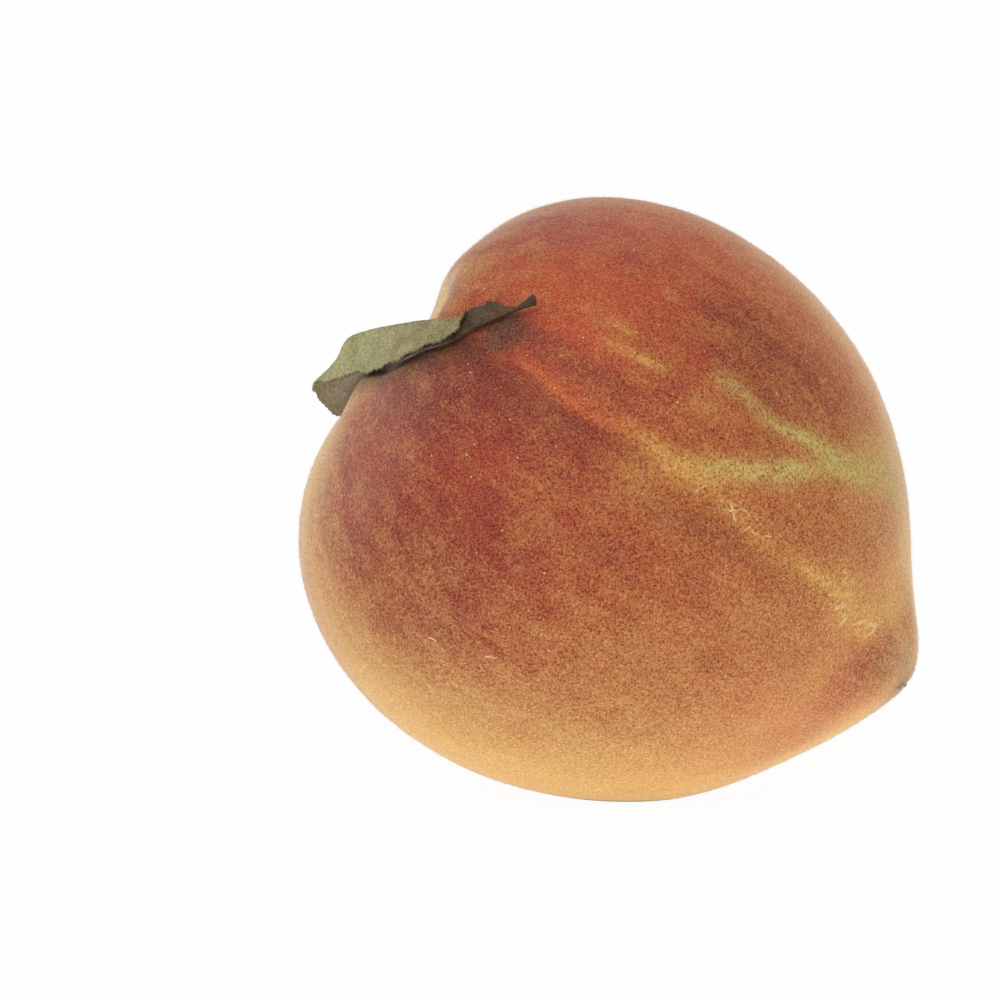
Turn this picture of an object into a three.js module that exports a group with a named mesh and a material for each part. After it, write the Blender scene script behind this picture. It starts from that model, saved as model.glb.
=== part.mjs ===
// A ripe peach lying on its cheek, with one small dried leaf folded over its stem cavity.
// Units are millimetres and +Z is up. The origin is the centre of the flat spot that the fruit
// rests on, and -Y is the side of its suture, the crease that runs from the stem to the tip.
import * as THREE from "three";

const { PI, abs, cos, exp, min, sign, sin } = Math;
const { degToRad, lerp } = THREE.MathUtils;

// ---- Driving dimensions of the fruit. In its own frame +Z points from the tip to the stem,
// +X to the suture side and +Y to the upper cheek. Angles are in degrees. ----
const CHEEK_RADIUS = 37.5; // half the width over the two cheeks
const DEPTH_SHARE = 0.975; // the width from suture to back, as a share of the width over the cheeks
const STEM_HALF = { length: 32.6, radial: 2.7, axial: 0.485 }; // equator to crown, a superellipse
const TIP_HALF = { length: 46, taper: 1.41 }; // equator to tip, drawn in to a soft point
const CAVITY = { depth: 15, radius: 6.4 }; // the well that the stalk stands in
const SHOULDER = { radius: 7.2, width: 9.4, clear: 4 }; // the ring round the well that the dips cut
const FRONT_DIP = { depth: 7.8, width: 44.4, power: 1.45 }; // where the suture runs over the shoulder
const BACK_DIP = { depth: 4.6, width: 54, power: 2 }; // the shallow dip opposite
const LOWER_SWELL = { height: 3, at: -41, width: 19 }; // of the shoulder, below the suture
const UPPER_SWELL = { height: 2, at: 40, width: 22 }; // and above it
const SUTURE_AZIMUTH = 12; // from +X towards the upper cheek
const CREASE = { depth: 0.9, width: 9, stemDepth: 1.1, stemAt: 38, tipDepth: 0.6, tipAt: 152, reach: 20 };
const CORE_OFFSET = { distance: 4.9, radius: 11.9 }; // the sections lie off the axis, to the lower cheek
const CHEEK_SKEW = { amount: 0.4, at: 21, width: 15 }; // the upper cheek is fuller towards the tip
const NECK = { depth: 1.4, at: 39.5, width: 5.7, radius: 2 }; // the waist just before the tip
const TIP_PIT = { depth: 0.7, radius: 0.9 }; // the pinprick that the dried style stands in

// ---- How the fruit lies ----
const LEAN = { suture: -10, stem: -53.3, roll: -90 }; // turns about X, Y and Z
const FRUIT_CENTRE = new THREE.Vector3(-1.6, 1.5, 41.15);
const FLAT_SPOT_BLEND = 0.2; // the height over which the flat spot rounds into the skin

// ---- Other pieces ----
const GAP = 0.3; // between pieces that touch
const STUB = { radius: 1.5, length: 5.5, flare: 0.35 };
const STYLE = { radius: 0.4, length: 1 };
const LEAF = { thickness: 0.3, stalkThickness: 0.8, stalkShare: 1 / 11, edgeShare: 0.4 };

// The leaf's guide curves, each from the free end of its stalk to its tip. The near half stands
// up at the stalk end, folds over forwards at the crest and hangs over the shoulder of the fruit.
const NEAR_MARGIN = [
  [-11.5, -24.3, 66.8], [-14, -23.1, 65.2], [-16.5, -22, 65.4], [-18.5, -20.5, 64.8], [-20.5, -21.5, 63.6],
  [-21.5, -22.5, 61.5], [-25, -20, 60], [-28, -17.5, 58], [-31.5, -10.7, 55], [-34.7, -5.2, 54],
  [-37, -1.6, 52.5], [-39, 1.5, 51.5],
];
const CREST = [
  [-11.4, -24.6, 66.6], [-14, -23.4, 65.1], [-16.5, -22.7, 64.7], [-18.5, -22, 64], [-20.5, -21, 63.8],
  [-22.5, -19.5, 63.3], [-25.5, -15.5, 62.5], [-28.5, -11, 61.2], [-32, -7, 59.5], [-35, -3.7, 57.5],
  [-37, -1.2, 54.5], [-39.2, 1.7, 51.3],
];
const MIDRIB = [
  [-11.3, -24.5, 66.2], [-14, -23.4, 64.8], [-17, -22.6, 63.7], [-19, -22.2, 62.4], [-20.5, -21.8, 61.5],
  [-22, -21.4, 60.4], [-25, -19.7, 59.2], [-28.2, -15.4, 58.1], [-31.6, -6.8, 56.4], [-34.5, -1.5, 54.3],
  [-36.7, 1.5, 52.5], [-39.2, 1.8, 51.1],
];
const FAR_MARGIN = [
  [-11.2, -24.2, 65.7], [-14, -23, 64.5], [-17, -22, 63.2], [-19.5, -21.5, 62], [-21, -21, 61.4],
  [-23, -19.5, 61.2], [-26, -14, 60.4], [-30.5, -4, 58.1], [-33, 3.3, 51.5], [-35.6, 8, 46.5],
  [-38, 5.3, 48.5], [-39.2, 2.2, 50.7],
];

// Mesh fineness
const FRUIT_ROWS = 44;
const FRUIT_COLUMNS = 72;
const CAVITY_CROWDING = 1.2; // above 1, the rows crowd into the stem cavity
const SUTURE_CROWDING = 0.5; // above 0, the columns crowd towards the suture
const LEAF_ROWS = 44;
const LEAF_COLUMNS = 12;
const LATHE_SIDES = 24;

// A bell curve of height 1 at `centre`, 1/e high at `width` to each side when `power` is 2.
const bell = (x, centre, width, power = 2) => exp(-(abs((x - centre) / width) ** power));

// The angle from `from` to `angle`, in degrees between -180 and 180.
const turnFrom = (from, angle) => THREE.MathUtils.euclideanModulo(angle - from + 180, 360) - 180;

// ---- Fruit ----

// One point of the skin in the fruit's own frame. `polar` runs from 0 at the floor of the stem
// cavity over the equator at 90 to 180 at the tip, and `azimuth` goes round the axis from +X.
function skinPoint(polar, azimuth) {
  const s = sin(degToRad(polar));
  const onStemHalf = polar < 90;
  const across = sin(degToRad(azimuth));
  const fromSuture = turnFrom(SUTURE_AZIMUTH, azimuth);
  let radius = CHEEK_RADIUS * (onStemHalf ? s : s ** TIP_HALF.taper);
  let height = TIP_HALF.length * cos(degToRad(polar));

  if (onStemHalf) {
    const ring = bell(radius, SHOULDER.radius, SHOULDER.width) * (1 - bell(radius, 0, SHOULDER.clear));
    const dips =
      FRONT_DIP.depth * bell(fromSuture, 0, FRONT_DIP.width, FRONT_DIP.power) +
      BACK_DIP.depth * bell(180 - abs(fromSuture), 0, BACK_DIP.width, BACK_DIP.power) -
      LOWER_SWELL.height * bell(fromSuture, LOWER_SWELL.at, LOWER_SWELL.width) -
      UPPER_SWELL.height * bell(fromSuture, UPPER_SWELL.at, UPPER_SWELL.width);
    height = STEM_HALF.length * (1 - s ** STEM_HALF.radial) ** STEM_HALF.axial;
    height -= CAVITY.depth * bell(radius, 0, CAVITY.radius) + dips * ring;
  } else {
    const towardsTip = -height;
    radius += CHEEK_SKEW.amount * bell(towardsTip, CHEEK_SKEW.at, CHEEK_SKEW.width) * across * s;
    radius -= NECK.depth * bell(towardsTip, NECK.at, NECK.width) * min(1, radius / NECK.radius);
    height += TIP_PIT.depth * bell(radius, 0, TIP_PIT.radius);
  }

  const creaseDepth =
    CREASE.depth +
    CREASE.stemDepth * bell(polar, CREASE.stemAt, CREASE.reach) +
    CREASE.tipDepth * bell(polar, CREASE.tipAt, CREASE.reach);
  const offset = CORE_OFFSET.distance * (1 - bell(radius, 0, CORE_OFFSET.radius));
  radius -= creaseDepth * bell(fromSuture, 0, CREASE.width) * s;
  return new THREE.Vector3(
    DEPTH_SHARE * radius * cos(degToRad(azimuth)),
    radius * across - offset,
    height,
  );
}

// The frame that the fruit, its stub and its style share, laid on the cheek.
function fruitFrame() {
  const turn = new THREE.Euler(degToRad(LEAN.suture), degToRad(LEAN.stem), degToRad(LEAN.roll), "XYZ");
  return new THREE.Matrix4().makeRotationFromEuler(turn).setPosition(FRUIT_CENTRE);
}

// The height of a skin point once the fruit's weight has pressed it flat at zero: it is left
// alone above the blend, is zero below it, and follows a parabola between.
function pressedFlat(height) {
  if (height >= FLAT_SPOT_BLEND) return height;
  if (height <= -FLAT_SPOT_BLEND) return 0;
  return (height + FLAT_SPOT_BLEND) ** 2 / (4 * FLAT_SPOT_BLEND);
}

// A closed surface from a first pole over equally long rings of points to a last pole.
function closedSkin(firstPole, rings, lastPole) {
  const points = [firstPole, ...rings.flat(), lastPole];
  const count = rings[0].length;
  const last = points.length - 1;
  const index = [];
  for (let column = 0; column < count; column++) {
    const next = (column + 1) % count;
    index.push(0, 1 + next, 1 + column);
    for (let row = 0; row < rings.length - 1; row++) {
      const here = 1 + row * count;
      const below = here + count;
      index.push(here + column, here + next, below + column);
      index.push(here + next, below + next, below + column);
    }
    const end = last - count;
    index.push(last, end + column, end + next);
  }
  return new THREE.BufferGeometry().setFromPoints(points).setIndex(index);
}

function fruitGeometry() {
  const frame = fruitFrame();
  const laid = (polar, azimuth) => {
    const point = skinPoint(polar, azimuth).applyMatrix4(frame);
    point.z = pressedFlat(point.z);
    return point;
  };
  const rings = [];
  for (let row = 1; row < FRUIT_ROWS; row++) {
    const polar = 180 * (row / FRUIT_ROWS) ** CAVITY_CROWDING;
    const ring = [];
    for (let column = 0; column < FRUIT_COLUMNS; column++) {
      const turn = (2 * PI * column) / FRUIT_COLUMNS;
      const azimuth = THREE.MathUtils.radToDeg(turn - SUTURE_CROWDING * sin(turn));
      ring.push(laid(polar, -azimuth + SUTURE_AZIMUTH));
    }
    rings.push(ring);
  }
  return closedSkin(laid(0, 0), rings, laid(180, 0));
}

// ---- Stem stub and style remnant, turned about the fruit's axis ----

function stubGeometry() {
  const floor = skinPoint(0, 0).z + GAP;
  const { radius, length, flare } = STUB;
  const profile = [
    [0, 0], [0.5 * radius, 0.25], [radius, 1.1], [0.93 * radius, 0.4 * length], [0.95 * radius, 0.75 * length],
    [radius + flare, 0.92 * length], [radius + 0.7 * flare, length], [0.4 * radius, length - 0.15],
    [0, length - 0.25],
  ];
  return new THREE.LatheGeometry(
    profile.map(([r, z]) => new THREE.Vector2(r, floor + z)),
    LATHE_SIDES,
  ).rotateX(PI / 2);
}

function styleGeometry() {
  const base = skinPoint(180, 0).z - GAP;
  const { radius, length } = STYLE;
  const profile = [
    [0, -length], [0.5 * radius, 0.08 - length], [0.8 * radius, -0.6 * length], [radius, -0.2 * length],
    [0.8 * radius, 0], [0, 0],
  ];
  return new THREE.LatheGeometry(
    profile.map(([r, z]) => new THREE.Vector2(r, base + z)),
    LATHE_SIDES,
  ).rotateX(PI / 2);
}

// ---- Leaf ----

const smoothCurve = (points) =>
  new THREE.CatmullRomCurve3(
    points.map((point) => new THREE.Vector3(...point)),
    false,
    "catmullrom",
    0.5,
  );

// The blade's middle surface: at each share along the leaf, one smooth curve across it runs
// from the near margin over the crest and the midrib to the far margin.
function bladeSurface() {
  const guides = [NEAR_MARGIN, CREST, MIDRIB, FAR_MARGIN].map(smoothCurve);
  return (along, across) => {
    const section = guides.map((guide) => guide.getPoint(along).toArray());
    return smoothCurve(section).getPoint(across);
  };
}

function leafGeometry() {
  const surface = bladeSurface();
  const step = 1e-3;
  const normal = (along, across) => {
    const a = min(along, 1 - step);
    const c = min(across, 1 - step);
    const here = surface(a, c);
    const forward = surface(a + step, c).sub(here);
    return forward.cross(surface(a, c + step).sub(here)).normalize();
  };
  const rings = [];
  for (let row = 1; row < LEAF_ROWS; row++) {
    const along = row / LEAF_ROWS;
    const stalk = 1 - min(1, along / LEAF.stalkShare);
    const half = lerp(LEAF.thickness, LEAF.stalkThickness, stalk) / 2;
    const upper = [];
    const lower = [];
    for (let column = 0; column <= LEAF_COLUMNS; column++) {
      const across = column / LEAF_COLUMNS;
      const atEdge = column === 0 || column === LEAF_COLUMNS;
      const lift = normal(along, across).multiplyScalar(half * (atEdge ? LEAF.edgeShare : 1));
      const middle = surface(along, across);
      lower.push(middle.clone().sub(lift));
      upper.unshift(middle.clone().add(lift));
    }
    rings.push([...lower, ...upper]);
  }
  return closedSkin(surface(0, 0.5), rings, surface(1, 0.5));
}

// ---- The peach ----

function piece(name, geometry, color, roughness) {
  const mesh = new THREE.Mesh(geometry, new THREE.MeshStandardMaterial({ color, roughness, metalness: 0 }));
  mesh.name = name;
  return mesh;
}

const peach = new THREE.Group();
peach.add(piece("fruit", fruitGeometry(), 0xc0703f, 0.85));
peach.add(piece("leaf", leafGeometry(), 0x8b8a5a, 0.7));

const core = new THREE.Group();
core.applyMatrix4(fruitFrame());
core.add(piece("stem_stub", stubGeometry(), 0x6b5237, 0.9));
core.add(piece("style_remnant", styleGeometry(), 0x4a3a2c, 0.9));
peach.add(core);

export default peach;
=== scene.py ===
import bpy
import numpy as np
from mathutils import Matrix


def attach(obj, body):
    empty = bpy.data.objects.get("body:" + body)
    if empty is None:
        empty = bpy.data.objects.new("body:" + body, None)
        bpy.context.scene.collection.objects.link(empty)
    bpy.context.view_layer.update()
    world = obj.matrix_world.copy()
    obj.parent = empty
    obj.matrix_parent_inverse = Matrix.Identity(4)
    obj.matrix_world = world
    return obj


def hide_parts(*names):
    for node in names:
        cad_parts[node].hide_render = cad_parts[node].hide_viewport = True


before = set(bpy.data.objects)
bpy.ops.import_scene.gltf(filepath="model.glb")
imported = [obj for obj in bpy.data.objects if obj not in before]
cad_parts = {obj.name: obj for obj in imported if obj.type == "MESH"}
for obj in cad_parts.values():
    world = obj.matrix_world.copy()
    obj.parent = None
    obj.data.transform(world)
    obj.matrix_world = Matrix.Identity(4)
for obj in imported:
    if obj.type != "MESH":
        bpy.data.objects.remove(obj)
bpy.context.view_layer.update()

# ---- Fruit ----
# The fleshy fruit itself: one closed skin from the floor of the stem cavity to the pit at the tip,
# with the suture as a shallow crease. It lies on its cheek, where its weight presses a small flat
# spot. Its own frame has +Z from the tip to the stem, +X to the suture and +Y to the upper cheek.

METRES = 0.001  # in one millimetre
CHEEK_RADIUS = 37.5
DEPTH_SHARE = 0.975  # from crease to back, of the width over the cheeks
STEM_LENGTH, STEM_RADIAL, STEM_AXIAL = 32.6, 2.7, 0.485
TIP_LENGTH, TIP_TAPER = 46.0, 1.41
CAVITY_DEPTH, CAVITY_RADIUS = 15.0, 6.4
SHOULDER_RADIUS, SHOULDER_WIDTH, SHOULDER_CLEAR = 7.2, 9.4, 4.0
FRONT_DIP, FRONT_WIDTH, FRONT_POWER = 7.8, 44.4, 1.45
BACK_DIP, BACK_WIDTH = 4.6, 54.0
LOWER_SWELL, LOWER_AT, LOWER_WIDTH = 3.0, -41.0, 19.0
UPPER_SWELL, UPPER_AT, UPPER_WIDTH = 2.0, 40.0, 22.0
SUTURE_AZIMUTH = 12.0
CREASE_DEPTH, CREASE_WIDTH = 0.9, 9.0
CREASE_STEM_DEPTH, CREASE_STEM_AT = 1.1, 38.0
CREASE_TIP_DEPTH, CREASE_TIP_AT, CREASE_REACH = 0.6, 152.0, 20.0
CORE_OFFSET, CORE_RADIUS = 4.9, 11.9
SKEW, SKEW_AT, SKEW_WIDTH = 0.4, 21.0, 15.0
NECK_DEPTH, NECK_AT, NECK_WIDTH, NECK_RADIUS = 1.4, 39.5, 5.7, 2.0
PIT_DEPTH, PIT_RADIUS = 0.7, 0.9
# The line where the crease's two sides meet, as degrees from the suture at each polar angle
EDGE_POLAR = [56, 62, 65, 68, 71, 74, 77, 80, 83, 86, 89, 92, 96]
EDGE_SUTURE = [1.0, 1.0, 1.3, 0.8, -0.2, -0.6, -0.9, -0.6, -0.4, 0.3, 0.6, 1.0, 1.5]
LEAN = (-10.0, -53.3, -90.0)
FRUIT_CENTRE = np.array([-1.6, 1.5, 41.15])
FLAT_SPOT_BLEND = 0.2
LONG_RIPPLE, LONG_SPACING, SHORT_RIPPLE, SHORT_SPACING = 0.04, 16, 0.02, 5
FOLD_DEPTH, FOLD_LIP = 0.22, 0.12
LEAF_FOLD_HEIGHT, PUCKER_HEIGHT = 0.06, 0.07
RIM_SWELL, RIM_DIP = 0.5, 0.3
SPOT_CLEAR, SPOT_FADE = 0.3, 4  # heights: no relief below the first, all of it above their sum


def bell(x, centre, width, power=2.0):
    """A bell curve: e to the minus of |x - centre| / width, raised to the power."""
    return np.exp(-(np.abs((x - centre) / width) ** power))


def turn_from(start, angle):
    """The angle from start, in degrees, brought between -180 and 180."""
    return (angle - start + 180) % 360 - 180


def skin(polar, azimuth):
    """Points of the skin in the fruit's frame. The stem half is a superellipse, height = length *
    (1 - sin^radial)^axial, less the bell of the cavity and a ring of dips and swells round it. The
    tip half is height = length * cos at a radius of sin^taper, with a neck and a pit. The crease
    takes a bell off the radius, and the sections slide off the axis as they widen."""
    s = np.sin(np.radians(polar))
    across = np.sin(np.radians(azimuth))
    suture = turn_from(SUTURE_AZIMUTH, azimuth)
    on_stem_half = polar < 90
    stem_radius = CHEEK_RADIUS * s
    ring = bell(stem_radius, SHOULDER_RADIUS, SHOULDER_WIDTH) * (1 - bell(stem_radius, 0, SHOULDER_CLEAR))
    dips = FRONT_DIP * bell(suture, 0, FRONT_WIDTH, FRONT_POWER)
    dips = dips + BACK_DIP * bell(180 - np.abs(suture), 0, BACK_WIDTH)
    dips = dips - LOWER_SWELL * bell(suture, LOWER_AT, LOWER_WIDTH)
    dips = dips - UPPER_SWELL * bell(suture, UPPER_AT, UPPER_WIDTH)
    stem_height = STEM_LENGTH * np.clip(1 - s**STEM_RADIAL, 0, 1) ** STEM_AXIAL
    stem_height = stem_height - CAVITY_DEPTH * bell(stem_radius, 0, CAVITY_RADIUS) - dips * ring
    tip_radius = CHEEK_RADIUS * np.clip(s, 0, 1) ** TIP_TAPER
    tip_height = TIP_LENGTH * np.cos(np.radians(polar))
    tip_radius = tip_radius + SKEW * bell(-tip_height, SKEW_AT, SKEW_WIDTH) * across * s
    waist = NECK_DEPTH * bell(-tip_height, NECK_AT, NECK_WIDTH)
    tip_radius = tip_radius - waist * np.minimum(1, tip_radius / NECK_RADIUS)
    tip_height = tip_height + PIT_DEPTH * bell(tip_radius, 0, PIT_RADIUS)
    radius = np.where(on_stem_half, stem_radius, tip_radius)
    height = np.where(on_stem_half, stem_height, tip_height)
    crease = CREASE_DEPTH + CREASE_STEM_DEPTH * bell(polar, CREASE_STEM_AT, CREASE_REACH)
    crease = crease + CREASE_TIP_DEPTH * bell(polar, CREASE_TIP_AT, CREASE_REACH)
    offset = CORE_OFFSET * (1 - bell(radius, 0, CORE_RADIUS))
    radius = radius - crease * bell(suture, 0, CREASE_WIDTH) * s
    x = DEPTH_SHARE * radius * np.cos(np.radians(azimuth))
    return np.stack([x, radius * across - offset, height], axis=-1)


def from_crease(polar, azimuth):
    """Degrees round the axis from the line where the crease's two sides meet, which wanders
    between its stations along straight lines."""
    return turn_from(SUTURE_AZIMUTH, azimuth) - np.interp(polar, EDGE_POLAR, EDGE_SUTURE)


def laid(points):
    """Fruit-frame points, turned by the lean about X, Y and Z and moved to the fruit's centre."""
    a, b, c = np.radians(LEAN)
    about_x = np.array([[1, 0, 0], [0, np.cos(a), -np.sin(a)], [0, np.sin(a), np.cos(a)]])
    about_y = np.array([[np.cos(b), 0, np.sin(b)], [0, 1, 0], [-np.sin(b), 0, np.cos(b)]])
    about_z = np.array([[np.cos(c), -np.sin(c), 0], [np.sin(c), np.cos(c), 0], [0, 0, 1]])
    return points @ (about_x @ about_y @ about_z).T + FRUIT_CENTRE


def pressed_flat(points):
    """Points whose height is left alone above the blend, is zero below it, and follows a parabola
    between, (height + blend)^2 / (4 * blend)."""
    z = points[..., 2]
    pressed = (np.clip(z, -FLAT_SPOT_BLEND, FLAT_SPOT_BLEND) + FLAT_SPOT_BLEND) ** 2 / (4 * FLAT_SPOT_BLEND)
    return np.concatenate([points[..., :2], np.where(z > FLAT_SPOT_BLEND, z, pressed)[..., None]], axis=-1)


def ripple(grid, spacing, seed, waves=24):
    """Smooth hills and hollows between about -1 and 1: a sum of sine waves through space, each
    about one spacing long and running in a direction drawn from the seed."""
    draw = np.random.default_rng(seed)
    direction = draw.normal(size=(waves, 3))
    direction /= np.linalg.norm(direction, axis=1, keepdims=True)
    pitch = 2 * np.pi / (spacing * draw.uniform(0.7, 1.5, waves))
    phase = draw.uniform(0, 2 * np.pi, waves)
    return np.sin(grid @ (direction * pitch[:, None]).T + phase).sum(axis=-1) / np.sqrt(waves)


def relief(polar, azimuth):
    """How far the skin stands out from its smooth shape, in millimetres: long and short ripples,
    the fold along the floor of the crease and its lip, folds and puckers that are products of
    sines and bells, and a swell and a dip of the cavity's rim. It fades out at the flat spot."""
    suture = turn_from(SUTURE_AZIMUTH, azimuth)
    own = skin(polar, azimuth)
    height = LONG_RIPPLE * ripple(own, LONG_SPACING, seed=3)
    height += SHORT_RIPPLE * ripple(own, SHORT_SPACING, seed=4)
    past_fold = from_crease(polar, azimuth)
    fold_fade = bell(polar, 75, 45, 4)
    height -= FOLD_DEPTH * bell(past_fold, -1.2, 1.6) * fold_fade
    height += FOLD_LIP * bell(past_fold, 3, 2.5) * fold_fade
    leaf_folds = np.sin(np.radians(suture) * 34 + 0.8 * np.sin(polar / 6))  # under the leaf
    height += LEAF_FOLD_HEIGHT * leaf_folds * bell(suture, -4, 16) * bell(polar, 48, 10)
    puckers = np.sin(polar * 1.6 + suture * 0.35) * np.sin(suture * 0.62 - polar * 0.5)
    height += PUCKER_HEIGHT * puckers * bell(suture, 11, 11) * bell(polar, 137, 8)  # near the tip
    height += RIM_SWELL * bell(turn_from(124, suture), 0, 18) * bell(polar, 21, 7)
    height -= RIM_DIP * bell(suture, 76, 24) * bell(polar, 24, 8)
    return height * np.clip((laid(own)[..., 2] - SPOT_CLEAR) / SPOT_FADE, 0, 1)


def finished_skin(polar, azimuth):
    """Points of the skin as it lies, with its relief, and the outward directions there, which are
    the cross products of small steps down and along it."""
    step = 0.02
    here = laid(skin(polar, azimuth))
    down = laid(skin(polar + step, azimuth)) - here
    along = laid(skin(polar, azimuth + step)) - here
    out = np.cross(down, along)
    out /= np.linalg.norm(out, axis=-1, keepdims=True)
    return pressed_flat(here + relief(polar, azimuth)[..., None] * out), out


def new_piece(name, points, faces):
    """An object with a mesh of points in millimetres and of faces by their points' numbers."""
    mesh = bpy.data.meshes.new(name)
    mesh.from_pydata((points * METRES).tolist(), [], faces)
    piece = bpy.data.objects.new(name, mesh)
    bpy.context.collection.objects.link(piece)
    return piece


def closed_surface(name, rings, first_pole, last_pole):
    """A smooth piece of rings of points, quads between them, and a fan of triangles to each pole."""
    rows, columns = rings.shape[:2]
    points = np.concatenate([[first_pole], rings.reshape(-1, 3), [last_pole]])
    here = 1 + np.arange(rows * columns).reshape(rows, columns)
    beside = np.roll(here, -1, axis=1)
    quads = np.stack([here[:-1], here[1:], beside[1:], beside[:-1]], axis=-1).reshape(-1, 4)
    start = np.stack([np.zeros(columns, int), here[0], beside[0]], axis=-1)
    end = np.stack([np.full(columns, len(points) - 1), beside[-1], here[-1]], axis=-1)
    piece = new_piece(name, points, start.tolist() + quads.tolist() + end.tolist())
    piece.data.shade_smooth()
    return piece


def put_attribute(piece, name, values):
    """Gives each vertex of a piece one number, or three, under a name that its material reads."""
    kind, field = ("FLOAT", "value") if values.ndim == 1 else ("FLOAT_VECTOR", "vector")
    attribute = piece.data.attributes.new(name, kind, "POINT")
    attribute.data.foreach_set(field, np.ascontiguousarray(values, dtype=np.float32).ravel())


# The rows crowd together at the stem, and the columns at the crease
SKIN_ROWS, SKIN_COLUMNS = 300, 320
ROW_CROWDING, COLUMN_CROWDING = 1.1, 0.4
polar_line = 180 * (np.arange(1, SKIN_ROWS) / SKIN_ROWS) ** ROW_CROWDING
turn_line = 2 * np.pi * np.arange(SKIN_COLUMNS) / SKIN_COLUMNS
azimuth_line = np.degrees(turn_line - COLUMN_CROWDING * np.sin(turn_line)) + SUTURE_AZIMUTH
polar, azimuth = np.meshgrid(polar_line, azimuth_line, indexing="ij")
suture = turn_from(SUTURE_AZIMUTH, azimuth)
skin_grid, _ = finished_skin(polar, azimuth)
poles = pressed_flat(laid(skin(np.array([0.0, 180.0]), np.array([0.0, 0.0]))))
fruit = closed_surface("fruit_skin", skin_grid, poles[0], poles[1])


def with_poles(values):
    """Values of the rings as one flat list, with the mean of the end rings at the two poles."""
    flat = values.reshape(values.shape[0] * values.shape[1], *values.shape[2:])
    return np.concatenate([values[:1].mean(axis=1), flat, values[-1:].mean(axis=1)])


# Where each colour of the skin lies. A patch is an oval: (degrees from the suture, polar angle,
# half its width, half its height, strength, and its turn in degrees if it is turned). A band runs
# down or round the skin through stations: (place along it, place of its centre across, half its
# width, strength). The place along a band that runs down is its polar angle, and across it the
# degrees from the suture. For one that runs round the skin it is the other way about.
SKIN_PATCHES = {
    "ochre_ground": [(5, 95, 68, 70, 1.0), (180, 60, 110, 40, 0.6)],
    "yellow_streak": [
        (12, 84, 1.2, 3, 0.2),
        (-24, 84, 6, 3, 0.15),
        (-20, 141, 12, 3, 0.3),
        (-4, 94, 5, 4, 0.2),
        (27, 34, 8, 6, 0.2),  # beside the leaf
    ],
    "tip_tan": [(0, 176, 400, 12, 0.8)],
    "blush": [
        (-10, 98, 64, 62, 0.58),  # the stippled middle
        (-34, 54, 42, 30, 0.75),  # the lower cheek round the stem
        (-25, 39, 12, 8, 0.5),
        (-38, 45, 30, 20, 0.35),
        (-42, 74, 26, 26, 0.6),  # the lower cheek's middle
        (-20, 82, 14, 22, 0.4),
        (-9, 68, 8, 18, 0.5),
        (36, 56, 42, 42, 0.84),  # the upper cheek
        (42, 95, 20, 24, 0.6),
        (5, 66, 14, 24, 0.6),
        (14, 96, 6, 9, 0.35),
        (-8, 104, 8, 9, 0.25),
        (-5, 152, 40, 9, 0.55),  # round the tip
        (34, 132, 28, 6, 0.3),
        (48, 154, 18, 9, 0.4),
        (-58, 146, 18, 9, 0.3),
        (-24, 148, 14, 8, 0.2),
        (52, 115, 12, 8, 0.3),
        (-50, 101, 22, 7, 0.05),
        (135, 60, 50, 40, 0.75),  # the far side
        (-125, 50, 40, 24, 0.5),
    ],
    "scarlet_shade": [(36, 58, 30, 30, 0.9), (14, 62, 12, 16, 0.8), (-20, 66, 12, 10, 0.2)],
    # Maroon: the skin's own dark red streaks, and painted shade under the leaf and in the crease
    "maroon_and_painted_shade": [
        (-14, 50, 15, 16, 0.55, 20),  # painted shade under the leaf and down the lower side of the crease
        (-9, 70, 6, 14, 0.3, 6),
        (-24, 40, 10, 6, 0.35),
        (-44, 72, 20, 18, 0.35),
        (37, 106, 12, 12, 0.4, -14),
        (26, 101, 3, 8, 0.35),
        (35, 93, 7, 8, 0.5),
        (7.5, 72, 3, 16, 0.5),
        (18, 109, 3, 4, 0.3, -30),
        (4, 156, 22, 5, 0.5),
    ],
    "mauve_bloom": [(48, 52, 16, 22, 0.22), (20, 162, 20, 5, 0.3), (-25, 170, 30, 5, 0.2)],
    "dusty_bloom": [(-46, 41, 34, 18, 0.16)],
    "rose_bloom": [(-44, 148, 34, 22, 0.3), (10, 142, 40, 7, 0.15), (60, 88, 17, 36, 0.16)],
    "cavity_rim_highlight": [(125, 17, 46, 8, 0.5), (32, 23, 7, 5, 0.4)],  # painted highlights on the stem cavity's rim, far and near
    "leaf_shade": [(8, 55.5, 4, 4.5, 0.55), (-32, 17, 24, 6, 0.8)],
    "orange_streak": [(15, 75, 3, 10, 0.35), (25, 68, 4, 14, 0.25, -8)],
    "hair_clumps": [(0, 150, 180, 32, 0.9), (-62, 110, 20, 40, 0.5), (0, 95, 60, 30, 0.15)],
    "style_stain": [(-19, 170, 10, 2.4, 0.7)],
    "stipple": [(-12, 108, 46, 34, 1.0), (22, 108, 26, 26, 0.8)],
}
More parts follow.
